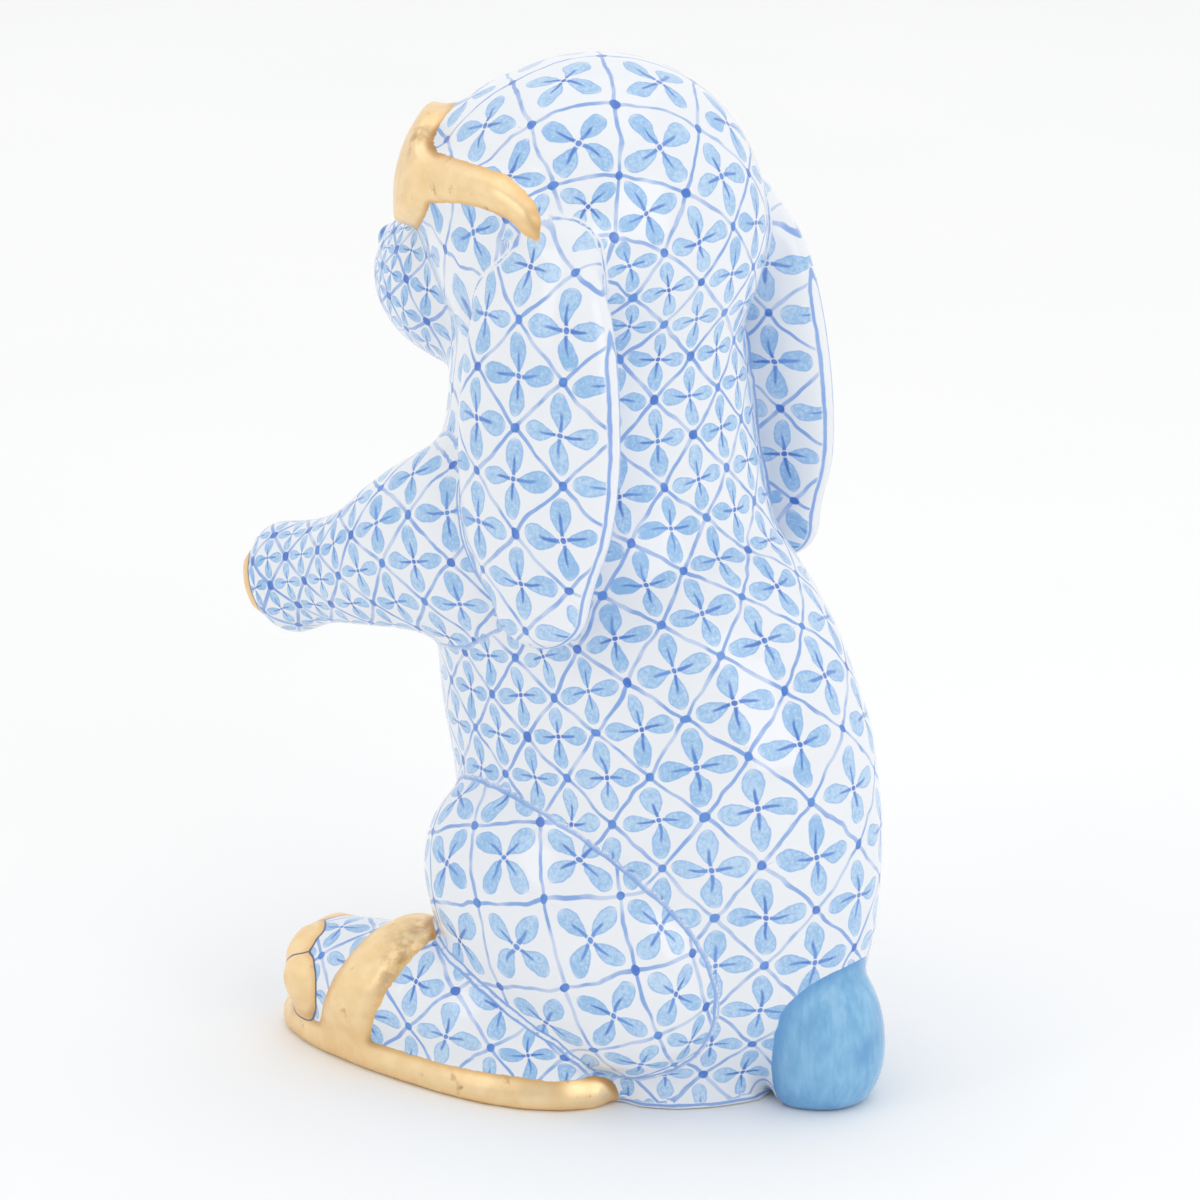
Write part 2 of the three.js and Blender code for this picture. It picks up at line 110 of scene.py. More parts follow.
def clay_copy(name, *sources):
    """Copies solids into one object and welds their triangles."""
    copies = []
    for source in sources:
        mesh = solids[source].data.copy()
        mesh.materials.clear()
        copy = bpy.data.objects.new(name, mesh)
        bpy.context.scene.collection.objects.link(copy)
        copies.append(copy)
    select_only(*copies)
    if len(copies) > 1:
        bpy.ops.object.join()
    piece = bpy.context.object
    bpy.ops.object.mode_set(mode="EDIT")
    bpy.ops.mesh.select_all(action="SELECT")
    bpy.ops.mesh.remove_doubles(threshold=0.002 * MM)
    bpy.ops.object.mode_set(mode="OBJECT")
    return piece


def work(piece, kind, **settings):
    """Adds a modifier with its settings and applies it."""
    select_only(piece)
    modifier = piece.modifiers.new(kind.title(), kind)
    for key, value in settings.items():
        setattr(modifier, key, value)
    bpy.ops.object.modifier_apply(modifier=modifier.name)


def points_of(piece):
    values = np.empty(len(piece.data.vertices) * 3)
    piece.data.vertices.foreach_get("co", values)
    return values.reshape(-1, 3)


def normals_of(piece):
    values = np.empty(len(piece.data.vertices) * 3)
    piece.data.vertex_normals.foreach_get("vector", values)
    return values.reshape(-1, 3)


def put_points(piece, points):
    piece.data.vertices.foreach_set("co", points.ravel())
    piece.data.update()


def search_tree(piece):
    mesh = piece.data
    return BVHTree.FromPolygons([v.co for v in mesh.vertices], [p.vertices for p in mesh.polygons])


# %% Search trees of all the solids
def kind_of(name):
    """The sort of part, such as ear or claw, whatever its side and number."""
    return next(word for word in KINDS if word in name)


KINDS = ["torso", "head", "ear", "arm", "haunch", "foot", "tail",
         "sole", "strap", "claw", "lens", "bridge", "temple"]
NAMES = list(solids)
GILDED = [name for name in NAMES if kind_of(name) in ("sole", "strap", "claw", "lens", "bridge", "temple")]
GLAZED = [name for name in NAMES if name not in GILDED and name != "tail"]
CLAWS = [name for name in NAMES if kind_of(name) == "claw"]
trees = {name: search_tree(solid) for name, solid in solids.items()}
print(len(GLAZED), "glazed,", len(GILDED), "gilded, of which", len(CLAWS), "claws, and the tail")


# how far a distance is looked for, from the edges of the paint and from the joints
REACH, JOINT_REACH = 4 * MM, 6 * MM


def distance_to(names, points, reach=REACH):
    """Distance from each point to the nearest of these solids in millimetres, no more than the reach."""
    found = np.full(len(points), reach)
    for name in names:
        low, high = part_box(name)
        near = np.all((points > np.array(low) - reach) & (points < np.array(high) + reach), axis=1)
        for i in np.flatnonzero(near):
            hit = trees[name].find_nearest(Vector(points[i]), found[i])
            if hit[3] is not None:
                found[i] = hit[3]
    return found / MM


# %% [markdown]
# ## One skin
# On the real figurine nothing is separate: head, ears, arms, haunches and feet run into the body over soft,
# sponged joints, and the glasses, straps, soles and claws are only low swellings of the same clay, which
# are gilded later. The copies are swollen by a hair, so that the seams close, and a voxel remesh turns them
# into one skin. Smoothing takes the facets away, and more smoothing that is painted on along the joints
# fills them like wet clay.

# %% Fuse copies into one skin
def fuse(name, sources, voxel, swell, plugs=()):
    """Joins solids that stand a seam apart into one closed skin; plugs of clay fill wider gaps."""
    skin = clay_copy(name, *sources)
    work(skin, "DISPLACE", strength=swell, mid_level=0)
    for spot, radii in plugs:
        bpy.ops.mesh.primitive_uv_sphere_add(location=spot, scale=radii)
        select_only(skin, bpy.context.object)
        bpy.ops.object.join()
    work(skin, "REMESH", mode="VOXEL", voxel_size=voxel, adaptivity=0)
    return skin


def nearest_solid(points, names):
    """The index of the solid that each point lies nearest to."""
    corners, faces, owner = [], [], []
    for index, name in enumerate(names):
        mesh = solids[name].data
        first = len(corners)
        corners.extend(v.co for v in mesh.vertices)
        faces.extend([first + k for k in p.vertices] for p in mesh.polygons)
        owner.extend([index] * len(mesh.polygons))
    tree = BVHTree.FromPolygons(corners, faces)
    owner = np.array(owner)
    return owner[[tree.find_nearest(Vector(point))[2] for point in points]]


def edges_of(piece):
    pairs = np.empty(len(piece.data.edges) * 2, np.int64)
    piece.data.edges.foreach_get("vertices", pairs)
    return pairs.reshape(-1, 2)


def evened(values, pairs, passes):
    """Averages values with those of the neighbouring points."""
    degree = np.bincount(pairs.ravel(), minlength=len(values))
    for _ in range(passes):
        total = np.bincount(pairs[:, 0], values[pairs[:, 1]], len(values)) \
            + np.bincount(pairs[:, 1], values[pairs[:, 0]], len(values))
        values = 0.5 * values + 0.5 * total / degree
    return values


def joints_of(piece, owner):
    """For each point its distance to the nearest joint in millimetres, and the two solids that meet there."""
    points, pairs = points_of(piece), edges_of(piece)
    crossing = pairs[owner[pairs[:, 0]] != owner[pairs[:, 1]]]
    middles = points[crossing].mean(axis=1)
    sides = np.sort(owner[crossing], axis=1)
    tree = KDTree(len(middles))
    for i, middle in enumerate(middles):
        tree.insert(middle, i)
    tree.balance()
    hits = [tree.find(point)[1:] for point in points]
    return np.array([hit[1] for hit in hits]) / MM, sides[[hit[0] for hit in hits]]


def kinds_at(sides):
    """The sorts of part that meet at each joint, in alphabetical order."""
    kinds = np.array([kind_of(name) for name in NAMES])
    return np.sort(kinds[sides], axis=1)


def smooth_where(piece, weights, passes):
    group = piece.vertex_groups.new(name="sponge")
    for i in np.flatnonzero(weights > 0.01):
        group.add([int(i)], float(weights[i]), "REPLACE")
    work(piece, "SMOOTH", factor=0.5, iterations=passes, vertex_group="sponge")
    piece.vertex_groups.clear()


VOXEL, SWELL = 0.3 * MM, 0.2 * MM
PLUG_SPOT = (4.1, -15.9, 75.7)  # under a lens, beside the muzzle
PLUG_RADII = Vector((2.0, 1.3, 1.4)) * MM
NOSE_RADIUS = 1.5  # the nose and the gilded parts stay crisp: the second smoothing keeps off them
CRISP, FADE = 0.8, 1.6  # how far it keeps off, and over how much more it sets in, in millimetres
plugs = [(Vector((side * PLUG_SPOT[0], *PLUG_SPOT[1:])) * MM, PLUG_RADII) for side in (-1, 1)]
skin = fuse("porcelain", NAMES, VOXEL, SWELL, plugs)
work(skin, "SMOOTH", factor=0.5, iterations=12)
points = points_of(skin)
foremost = min((v.co for v in solids["head"].data.vertices), key=lambda spot: spot.y)
off_nose = np.linalg.norm(points - foremost, axis=1) / MM - NOSE_RADIUS
away = np.minimum(distance_to(GILDED, points, 3 * MM), off_nose)
smooth_where(skin, np.clip((away - CRISP) / FADE, 0, 1), 44)
print("skin:", len(skin.data.vertices), "points")

# %% Lower the glasses, fill out the foot of the tail and the back of the base
LENS_HEIGHT, LENS_EDGE = 2.6, 0.3  # how far the glasses may stand above the face, and where they run out
LENS_FOOT, NOSE_SIDE = 79, 8  # the lenses run out below this height and this near to the middle
TAIL_GIRTH, TAIL_RADIUS, TAIL_POWER = 4.8, 6.8, 3.2  # below its girth the tail stands broad against the body
TAIL_SEAT = 27  # how far back it is broad
BASE_PUSH, BASE_HEIGHT = 1.5, 4  # the base stands out to the ground at the back
BASE_MIDDLE = np.array([0, 8])
points = points_of(skin)
owner = nearest_solid(points, NAMES)
lowered = np.zeros(len(owner))
on_glasses = np.isin(owner, [NAMES.index(name) for name in NAMES if kind_of(name) in ("lens", "bridge")])
for i in np.flatnonzero(on_glasses):
    spot, _, _, height = trees["head"].find_nearest(Vector(points[i]))
    height_left, width_left = LENS_FOOT - points[i, 2] / MM, NOSE_SIDE - abs(points[i, 0]) / MM
    beside_nose = np.clip(height_left, 0, 3) / 3 * np.clip(width_left, 0, 3) / 3
    most = (LENS_HEIGHT - (LENS_HEIGHT - LENS_EDGE) * beside_nose) * MM
    if height > most:
        lowered[i] = np.clip((height - most) / MM * 2, 0, 1)
        points[i] = spot + (Vector(points[i]) - spot) * most / height
on_tail = owner == NAMES.index("tail")
drop = np.clip((TAIL_GIRTH - points[on_tail, 2] / MM) / TAIL_RADIUS, 0, 0.71)
beside_body = np.clip((TAIL_SEAT - points[on_tail, 1] / MM) / 4, 0, 1)
broad = (1 - drop ** TAIL_POWER) ** (1 / TAIL_POWER) / np.sqrt(1 - drop ** 2)
points[on_tail, 0] *= 1 + beside_body * (broad - 1)
beside = np.clip((distance_to([*GILDED, "tail"], points, 3 * MM) - 0.4) / 2, 0, 1)
push = np.clip(1 - points[:, 2] / MM / BASE_HEIGHT, 0, 1) ** 2 * np.clip((points[:, 1] / MM - 6) / 10, 0, 1) \
    * beside * BASE_PUSH * MM
away = points[:, :2] - BASE_MIDDLE * MM
points[:, :2] += away * (push / np.maximum(np.linalg.norm(away, axis=1), MM))[:, None]
put_points(skin, points)
print(f"glasses lowered at {int((lowered > 0).sum())} points, base pushed by {push.max() / MM:.2f} mm")

# %% Sponge the joints
SOFTNESS = {  # how far the sponge reached, in millimetres, and how hard it was pressed
    ("arm", "torso"): (5.0, 1.0),
    ("ear", "head"): (4.5, 1.0),
    ("ear", "torso"): (3.8, 1.0),
    ("arm", "ear"): (0.7, 0.3),
    ("haunch", "torso"): (2.0, 0.7),
    ("foot", "torso"): (1.6, 0.6),
    ("foot", "haunch"): (1.4, 0.5),
    ("head", "torso"): (5.0, 1.0),
    ("arm", "head"): (5.0, 1.0),
    ("foot", "sole"): (2.6, 1.0),
    ("sole", "strap"): (2.4, 1.0),
    ("foot", "strap"): (1.6, 0.9),
    ("claw", "foot"): (1.6, 0.9),
    ("head", "lens"): (1.4, 0.8),
    ("head", "temple"): (1.3, 0.9),
    ("ear", "temple"): (1.3, 0.9),
    ("lens", "temple"): (1.8, 1.0),
    ("bridge", "lens"): (1.0, 1.0),
    ("tail", "torso"): (0.6, 0.4),
}
# the sponge is also pressed where the glasses run out beside the nose, on either side
RUN_OUT = (4.0, 17.2, 75.4)

reach, sides = joints_of(skin, owner)
meeting = kinds_at(sides)
soft = lowered.copy()
for pair in {tuple(row) for row in meeting}:
    span, press = SOFTNESS.get(pair, (0.7, 0.6))
    here = np.all(meeting == pair, axis=1)
    strength = press * np.clip(1.3 - reach[here] / span, 0, 1)
    if pair == ("ear", "head"):
        strength *= np.clip((points[here, 2] / MM - 68) / 6, 0, 1)
    if pair == ("ear", "torso"):
        strength *= np.where(owner[here] == NAMES.index("torso"), 1, 0.4)
    soft[here] = np.maximum(soft[here], strength)
corner = np.linalg.norm(np.abs(points) / MM - RUN_OUT, axis=1)
soft = np.maximum(soft, np.clip(1.9 - corner / 1.6, 0, 1))
smooth_where(skin, evened(soft, edges_of(skin), 6), 150)
work(skin, "DISPLACE", strength=-0.1 * MM, mid_level=0)
put_points(skin, np.clip(points_of(skin), cad_low, cad_high))
print("sponged", int((soft > 0).sum()), "points")

# %% [markdown]
# ## Where the brush goes
# The painter follows each form: the trellis runs round the body and up over the head to the nose, and round
# each limb by itself. The body needs a map that keeps the diamonds square while its girth changes, so the
# two coordinates are worked out on the body's own form: one climbs like a water level from the base to the
# nose, and the other runs round at right angles to it. Limbs are close to tubes, ears are flat leaves and
# haunches are domes, so plain formulas do.

# %% A map that follows the body
AROUND_NOSE, AROUND_ARMS, FAN = 10, 4, 5  # columns that end at the nose and under the arms, rows that fan out


def body_map(form, nose, base, arms, ears):
    """Points, triangles and two map values of a closed form, with the same scale both ways.

    One value climbs from the base to the nose and the other runs round. Some columns end under the arms,
    where the body grows slimmer, and more rows fan out from under the ears, where it widens over the crown,
    so that the diamonds stay much the same size. Values are known up to whole numbers.
    """
    mesh = form.data
    mesh.calc_loop_triangles()
    points = points_of(form)
    triangles = np.empty(len(mesh.loop_triangles) * 3, np.int64)
    mesh.loop_triangles.foreach_get("vertices", triangles)
    triangles = triangles.reshape(-1, 3)
    count, faces = len(points), len(triangles)

    def cotangent(a, b, c):
        first, second = points[b] - points[a], points[c] - points[a]
        return (first * second).sum(1) / np.maximum(np.linalg.norm(np.cross(first, second), axis=1), 1e-12)

    i, j, k = triangles.T
    start, end = np.concatenate([j, k, i]), np.concatenate([k, i, j])
    half = 0.5 * np.concatenate([cotangent(i, j, k), cotangent(j, k, i), cotangent(k, i, j)])
    key, back = start * count + end, end * count + start
    order = np.argsort(key)
    twin = order[np.clip(np.searchsorted(key[order], back), 0, len(key) - 1)]
    weight = np.maximum(half + half[twin], 0.02)
    scale = np.bincount(start, weight, count)

    def spread(values):
        return np.bincount(start, weight * (values[start] - values[end]), count)

    def settle(level, held):
        """Fills in a level between the held points, as heat spreads."""
        left = np.where(held, 0, -spread(level))
        step = left / scale
        rest = (left * step).sum()
        for _ in range(1500):
            moved = np.where(held, 0, spread(step))
            share = rest / (step * moved).sum()
            level = level + share * step
            left = left - share * moved
            new_rest = (left * left / scale).sum()
            if new_rest < 1e-16:
                break
            step = left / scale + new_rest / rest * step
            rest = new_rest
        return level

    def across(level, held, source, periods):
        """The value that runs at right angles to a level, and the factor that gives it whole periods."""
        flow = weight * (level[end] - level[start])
        factor = periods / flow[source[start] & ~source[end]].sum()
        usable = ~held[triangles].any(axis=1)
        turn = np.full(faces, np.nan)
        for first in np.flatnonzero(usable):
            if not np.isnan(turn[first]):
                continue
            turn[first] = 0
            queue = [int(first)]
            while queue:
                face = queue.pop()
                for edge in (face, face + faces, face + 2 * faces):
                    other = int(twin[edge] % faces)
                    if usable[other] and np.isnan(turn[other]):
                        turn[other] = turn[face] - flow[edge] * factor
                        queue.append(other)
        phase = np.where(np.isnan(turn), 0, np.exp(2j * math.pi * np.nan_to_num(turn)))
        total = np.bincount(triangles.ravel(), np.repeat(phase.real, 3), count) \
            + 1j * np.bincount(triangles.ravel(), np.repeat(phase.imag, 3), count)
        return np.angle(total) / (2 * math.pi), level * factor

    turn, climb = across(settle(nose.astype(float), nose | base), nose | base, base, AROUND_NOSE)
    more_turn, more_climb = across(settle(arms.astype(float), arms | base), arms | base, base, AROUND_ARMS)
    left, right = ears
    rise = settle(left.astype(float) - right.astype(float), left | right)
    rows, columns = across(rise, left | right, left, FAN)
    return points, triangles, turn + more_turn - columns, climb + more_climb + rows


def within(points, spot, radius):
    return np.linalg.norm(points - spot, axis=1) < radius


# where the ears and the arms grow from the body, on its left side, and how large the ends of the map are
EAR_SPOT, ARM_SPOT = (14, 5.6, 73), (14, 1, 48)
EAR_ROUND, ARM_ROUND, NOSE_ROUND, BASE_LEVEL = 4.2 * MM, 4 * MM, 2.2 * MM, 0.9 * MM

form = fuse("body_form", ["torso", "head"], 1.1 * MM, SWELL)
work(form, "SMOOTH", factor=0.5, iterations=8)
work(form, "TRIANGULATE")
form_points = points_of(form)
nose_tip = form_points[np.argmin(form_points[:, 1])]
at_nose = within(form_points, nose_tip, NOSE_ROUND)
at_base = form_points[:, 2] < BASE_LEVEL
at_ears = [within(form_points, np.array(EAR_SPOT) * (side, 1, 1) * MM, EAR_ROUND) for side in (1, -1)]
folded = form_points.copy()
folded[:, 0] = np.abs(folded[:, 0])
at_arms = within(folded, np.array(ARM_SPOT) * MM, ARM_ROUND)
map_points, map_faces, map_turn, map_climb = body_map(form, at_nose, at_base, at_arms, at_ears)
map_tree = BVHTree.FromPolygons([Vector(p) for p in map_points], map_faces.tolist())
bpy.data.objects.remove(form)
print(f"body map: {len(map_points)} points, {[int(ear.sum()) for ear in at_ears]} under the ears, "
      f"{int(at_arms.sum())} under the arms")


# %% Read the map at a point
def alike(values, first):
    """Values shifted by whole numbers to lie near the first of them."""
    return values - np.round(values - first)


def on_body(points):
    hits = [map_tree.find_nearest(Vector(point)) for point in points]
    corners = map_faces[[hit[2] for hit in hits]]
    spot = np.array([hit[0] for hit in hits])
    a, b, c = (map_points[corners[:, n]] for n in range(3))
    normal = np.cross(b - a, c - a)
    area = (normal ** 2).sum(1)
    share_b = (np.cross(spot - a, c - a) * normal).sum(1) / area
    share_c = (np.cross(b - a, spot - a) * normal).sum(1) / area
    shares = np.stack([1 - share_b - share_c, share_b, share_c], axis=1)
    result = []
    for values in (map_turn, map_climb):
        values = values[corners]
        result.append((alike(values, values[:, :1]) * shares).sum(1))
    return np.stack(result, axis=1) - BACK


# the columns are counted from the middle of the back
BACK = np.zeros(2)
BACK = np.array([on_body(np.array([[0, 32, 32]]) * MM)[0, 0], 0])

# %% Maps of the limbs
SHIFT = 0.84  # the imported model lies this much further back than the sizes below, in millimetres
PITCH = 8.8  # width of a diamond where a form is flat
# centres of a limb's oval sections in millimetres, and their half width and half height
ARM_LINE = [(10.6, 4.5, 48.6, 5.0, 8.2), (11.4, -3.5, 48.2, 5.4, 10.1), (11.2, -10.9, 46.4, 5.2, 8.0),
            (10.4, -18, 43.5, 4.6, 5.6), (9.7, -23.4, 41.8, 4.2, 4.7), (9.3, -27.9, 40.3, 4.2, 5.2),
            (9.2, -31, 39.6, 3, 3.6)]
FOOT_LINE = [(13.0, -23.6, 5.6, 3.6, 3.2), (13.0, -19.8, 5.6, 5.5, 5.0), (13.3, -15, 5.7, 6.0, 5.6),
             (13.5, -8.5, 5.7, 6.4, 6.0), (13.4, -1, 5.6, 6.5, 6.4), (12.4, 5, 5.0, 5.8, 5.0),
             (12, 11, 5.0, 4.6, 4.2)]
# heights on an ear, and how far back its middle is there
EAR_LINE = [(45.4, 6.7), (50.8, 5.8), (58, 5.3), (65.6, 5.0), (72, 4.8), (76.6, 4.4)]
AROUND_ARM, AROUND_FOOT = 6, 5  # columns of diamonds round a limb
HAUNCH_SPOT, HAUNCH_HALVES, HAUNCH_TILT = (11.2, 5.4, 15.5), (16.2, 11.8, 8.0), math.radians(29)
HAUNCH_STRETCH = (1.22, 1.3)  # makes the diamonds of the dome as large as those beside it
STEPS, EVENING = 160, 13  # sections that a limb's line is divided into, and how many of them are averaged


def on_tube(points, line, around):
    """Runs along a limb and round it, by the girth of its oval sections."""
    line = np.array(line, float)
    fine = np.linspace(0, len(line) - 1, STEPS)
    table = np.stack([np.interp(fine, np.arange(len(line)), line[:, n]) for n in range(5)], axis=1)
    kernel = np.ones(EVENING) / EVENING
    for n in range(5):
        table[:, n] = np.convolve(np.pad(table[:, n], EVENING // 2, mode="edge"), kernel, mode="valid")
    centre, sizes = table[:, :3], table[:, 3:]
    ahead = np.gradient(centre, axis=0)
    ahead /= np.linalg.norm(ahead, axis=1)[:, None]
    first = np.array([1.0, 0, 0]) - ahead[:, :1] * ahead
    first /= np.linalg.norm(first, axis=1)[:, None]
    second = np.cross(ahead, first)
    angles = np.linspace(-math.pi, math.pi, 361)
    speed = np.hypot(sizes[:, :1] * np.sin(angles), sizes[:, 1:] * np.cos(angles))
    steps = (speed[:, 1:] + speed[:, :-1]) / 2 * (angles[1] - angles[0])
    arc = np.concatenate([np.zeros((STEPS, 1)), np.cumsum(steps, axis=1)], axis=1)
    girth = arc[:, -1]
    along = np.cumsum(np.linalg.norm(np.diff(centre, axis=0, prepend=centre[:1]), axis=1) * around / girth)
    gap = points[:, None, :] - centre[None]
    best = np.argmin((gap ** 2).sum(2), axis=1)
    rows = np.arange(len(points))
    off = gap[rows, best]
    upwards = (off * second[best]).sum(1) / sizes[best, 1]
    sideways = (off * first[best]).sum(1) / sizes[best, 0]
    angle = np.arctan2(upwards, sideways)
    spot = (angle + math.pi) / (2 * math.pi) * 360
    low = np.clip(spot.astype(int), 0, 359)
    part = spot - low
    turn = (arc[best, low] * (1 - part) + arc[best, low + 1] * part) / girth[best] * around
    ahead_by = (off * ahead[best]).sum(1) * around / girth[best]
    return np.stack([turn, along[best] + ahead_by], axis=1)


def on_ear(points):
    middle = np.interp(points[:, 2], [z for z, _ in EAR_LINE], [y for _, y in EAR_LINE])
    return np.stack([(points[:, 1] - middle) / PITCH, points[:, 2] / PITCH], axis=1)


def on_haunch(points):
    """A dome: distances are measured over its rise, from its outermost point."""
    out, back, up = (points - HAUNCH_SPOT).T
    length = back * math.cos(HAUNCH_TILT) - up * math.sin(HAUNCH_TILT)
    height = back * math.sin(HAUNCH_TILT) + up * math.cos(HAUNCH_TILT)
    x, y, z = (value / half for value, half in zip((length, height, out), HAUNCH_HALVES))
    z = np.clip(z, -1, 1)
    fall = np.arctan2(np.hypot(x, y), z)
    ratio = fall / np.maximum(np.hypot(x, y), 1e-6) * (2 / math.pi)
    across, upwards = HAUNCH_STRETCH
    return np.stack([length * ratio * across / PITCH + 0.5, height * ratio * upwards / PITCH], axis=1)


def brush_map(name, points):
    """The map of the part that a solid belongs to; points on the right side are mirrored first."""
    local = points / MM - np.array([0, SHIFT, 0])
    if name.endswith("right"):
        local[:, 0] *= -1
    if name.startswith(("arm", "paw")):
        return on_tube(local, ARM_LINE, AROUND_ARM)
    if name.startswith(("foot", "sandal", "toe")):
        return on_tube(local, FOOT_LINE, AROUND_FOOT)
    if name.startswith("ear"):
        return on_ear(local)
    if name.startswith("haunch"):
        return on_haunch(local)
    return on_body(points)


# %% [markdown]
# ## Values that the paint needs
# Besides the map, the brush is steered by a few values on the skin's points. They tell how far a point is
# from the nearest joint, along which lines are drawn, and how far it is inside the gold or behind the line
# that the blue of the tail is painted up to. Glaze pools where the skin is hollow, and there the gold is
# painted darker as painted shade. The pitch is the size of the map's unit, so that lines can keep their
# width.

# %% Store values on the skin
def store(piece, name, values):
    attribute = piece.data.attributes.new(name, "FLOAT", "POINT")
    attribute.data.foreach_set("value", values.astype(np.float32))


def face_layout(piece):
    """The corners' points, the face of each corner and the first corner of each face."""
    mesh = piece.data
    sizes, starts = np.empty(len(mesh.polygons), np.int64), np.empty(len(mesh.polygons), np.int64)
    mesh.polygons.foreach_get("loop_total", sizes)
    mesh.polygons.foreach_get("loop_start", starts)
    corners = np.empty(len(mesh.loops), np.int64)
    mesh.loops.foreach_get("vertex_index", corners)
    return corners, np.repeat(np.arange(len(sizes)), sizes), starts


# how strongly a joint is drawn, how far from it in millimetres, and on which part; None stands for both
INK = {
    ("ear", "head"): (1, 0.3, None), ("ear", "torso"): (1, 0.3, None), ("arm", "ear"): (1, 0.3, None),
    ("arm", "torso"): (0.9, 0.3, "arm"), ("haunch", "torso"): (1, 0.3, "haunch"),
    ("foot", "haunch"): (1, 0.35, None), ("foot", "torso"): (1, 0.3, "foot"),
}


def steepness(values, owner, points, pairs):
    """How fast a value changes along the skin within each part, per millimetre."""
    first, second = pairs[owner[pairs[:, 0]] == owner[pairs[:, 1]]].T
    length = np.linalg.norm(points[first] - points[second], axis=1) / MM
    slope = np.abs(values[first] - values[second]) / np.maximum(length, 0.01)
    steepest = np.zeros(len(values))
    np.maximum.at(steepest, first, slope)
    np.maximum.at(steepest, second, slope)
    return evened(steepest, pairs, 10)


skin_points, pairs = points_of(skin), edges_of(skin)
owner = nearest_solid(skin_points, NAMES)
reach, sides = joints_of(skin, owner)
meeting = kinds_at(sides)
gap, ink, offset = np.full(len(owner), 5.0), np.zeros(len(owner)), np.zeros(len(owner))
near = reach < 3
for mine, other in {tuple(row) for row in sides[near]} | {tuple(row[::-1]) for row in sides[near]}:
    here = np.flatnonzero(near & np.all(sides == sorted((mine, other)), axis=1) & (owner == mine))
    if len(here):
        to_other, to_mine = (distance_to([NAMES[index]], skin_points[here], JOINT_REACH)
                             for index in (other, mine))
        gap[here] = to_other - to_mine
kinds = np.array([kind_of(name) for name in NAMES])[owner]
for pair, (strength, away, on) in INK.items():
    here = np.all(meeting == pair, axis=1) & ((kinds == on) if on else True)
    ink[here], offset[here] = strength, away
at_root = np.all(meeting == ("ear", "head"), axis=1)
ears = [name for name in NAMES if kind_of(name) == "ear"]
to_head, to_ears = (distance_to(names, skin_points, JOINT_REACH) for names in (["head"], ears))
over_ear = evened(np.where(to_head + to_ears < 11.9, to_head - to_ears, -5), pairs, 30)
gap[at_root] = np.abs(over_ear[at_root])
offset[at_root] *= np.clip((72 - skin_points[at_root, 2] / MM) / 6, 0, 1)
gap /= np.clip(steepness(np.where(at_root, over_ear, gap), owner, skin_points, pairs), 0.25, 2)
print("drawn joints at", int((ink > 0).sum()), "points")

# %% Values for gold, blue and glaze
TOE_CLAW, PAW_CLAW = 0.9, 0.3  # how far the claws' gold is painted over the foot or the paw, in millimetres
LENS_SHADE_SPOT = (10.5, 10.6, 82.8)  # painted shade: the gold of the lenses is painted darker round this spot, on either side
TEMPLE_TAPER = 0.9  # how much narrower the gold of a temple gets towards its end, on either side
NOSE_SIZE = (2.0, 2.6, 1.5)  # how far the blue of the nose reaches from its tip each way
# the line that the tail's blue is painted up to: height, and how far back it runs there
TAIL_OUTLINE = [(0, 23.6), (2, 23.3), (4, 23.4), (7, 24.2), (10, 25.35), (11, 26), (12, 26.8), (12.6, 27.5),
                (13.2, 28.4), (15, 36)]

y_mm, z_mm = skin_points[:, 1] / MM, skin_points[:, 2] / MM
trim = [name for name in GILDED if name not in CLAWS]
to_glazed, to_trim, to_claws, to_tail = (distance_to(names, skin_points)
                                         for names in (GLAZED, trim, CLAWS, ["tail"]))
to_gilded = np.minimum(to_trim, to_claws)
middle_claws = [name for name in CLAWS if "_2_" in name]
outer_claws = [name for name in CLAWS if name not in middle_claws]
to_middle, to_outer = (distance_to(names, skin_points) for names in (middle_claws, outer_claws))
split = np.where(to_middle + to_outer < 7.9, to_outer - to_middle, 5)
claw = np.where(to_claws < 3.9, np.minimum(to_glazed, to_trim) - to_claws, -4)
claw += np.where(skin_points[:, 2] < 20 * MM, TOE_CLAW, PAW_CLAW)
# a worn patch at the top of each strap, and painted shade round a spot on each lens
worn = np.clip((y_mm + 10.5) / 3, 0, 1) * np.clip((z_mm - 5) / 5, 0, 1) * (kinds == "strap")
recess = np.linalg.norm(np.abs(skin_points) / MM - LENS_SHADE_SPOT, axis=1)
worn = np.maximum(worn, np.clip(1.5 - recess / 1.6, 0, 1) * (kinds == "lens"))
normals = normals_of(skin)
sunk = np.stack([evened(skin_points[:, n], pairs, 60) for n in range(3)], axis=1) - skin_points
hollow = (sunk * normals).sum(1) / MM
rim = np.where(kinds == "ear", (evened(np.abs(normals[:, 0]), pairs, 6) - 0.4) / 0.6, z_mm - 0.5)
rim += np.clip((z_mm - 68) / 4, 0, 5) * (kinds == "ear")
store(skin, "joint", evened(gap, pairs, 1))
store(skin, "ink", evened(ink, pairs, 1))
store(skin, "offset", evened(offset, pairs, 1))
store(skin, "rim", evened(np.minimum(rim, 5), pairs, 1))
temple_end = max(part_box(name)[1][1] for name in NAMES if kind_of(name) == "temple")
at_temple = np.isin(meeting, ("temple",)).any(axis=1)
taper = np.clip(1 + (skin_points[:, 1] - temple_end) / (5 * MM), 0, 1) * at_temple
gild = np.maximum(np.minimum(to_glazed, to_tail) - to_gilded, claw) - TEMPLE_TAPER * taper
gild = np.where(on_glasses & (skin_points[:, 2] < LENS_FOOT * MM), np.maximum(gild, 0.4), gild)
store(skin, "gild", evened(gild, pairs, 3))
dye = np.clip(y_mm - np.interp(z_mm, *np.array(TAIL_OUTLINE).T), -4, 4)
store(skin, "dye", evened(dye, pairs, 3))
store(skin, "claw", evened(claw, pairs, 3))
store(skin, "worn", evened(worn, pairs, 10))
store(skin, "split", evened(split, pairs, 3))
from_nose = (skin_points - nose_tip) / MM / NOSE_SIZE
store(skin, "nose", np.minimum(np.linalg.norm(from_nose, axis=1), 5))
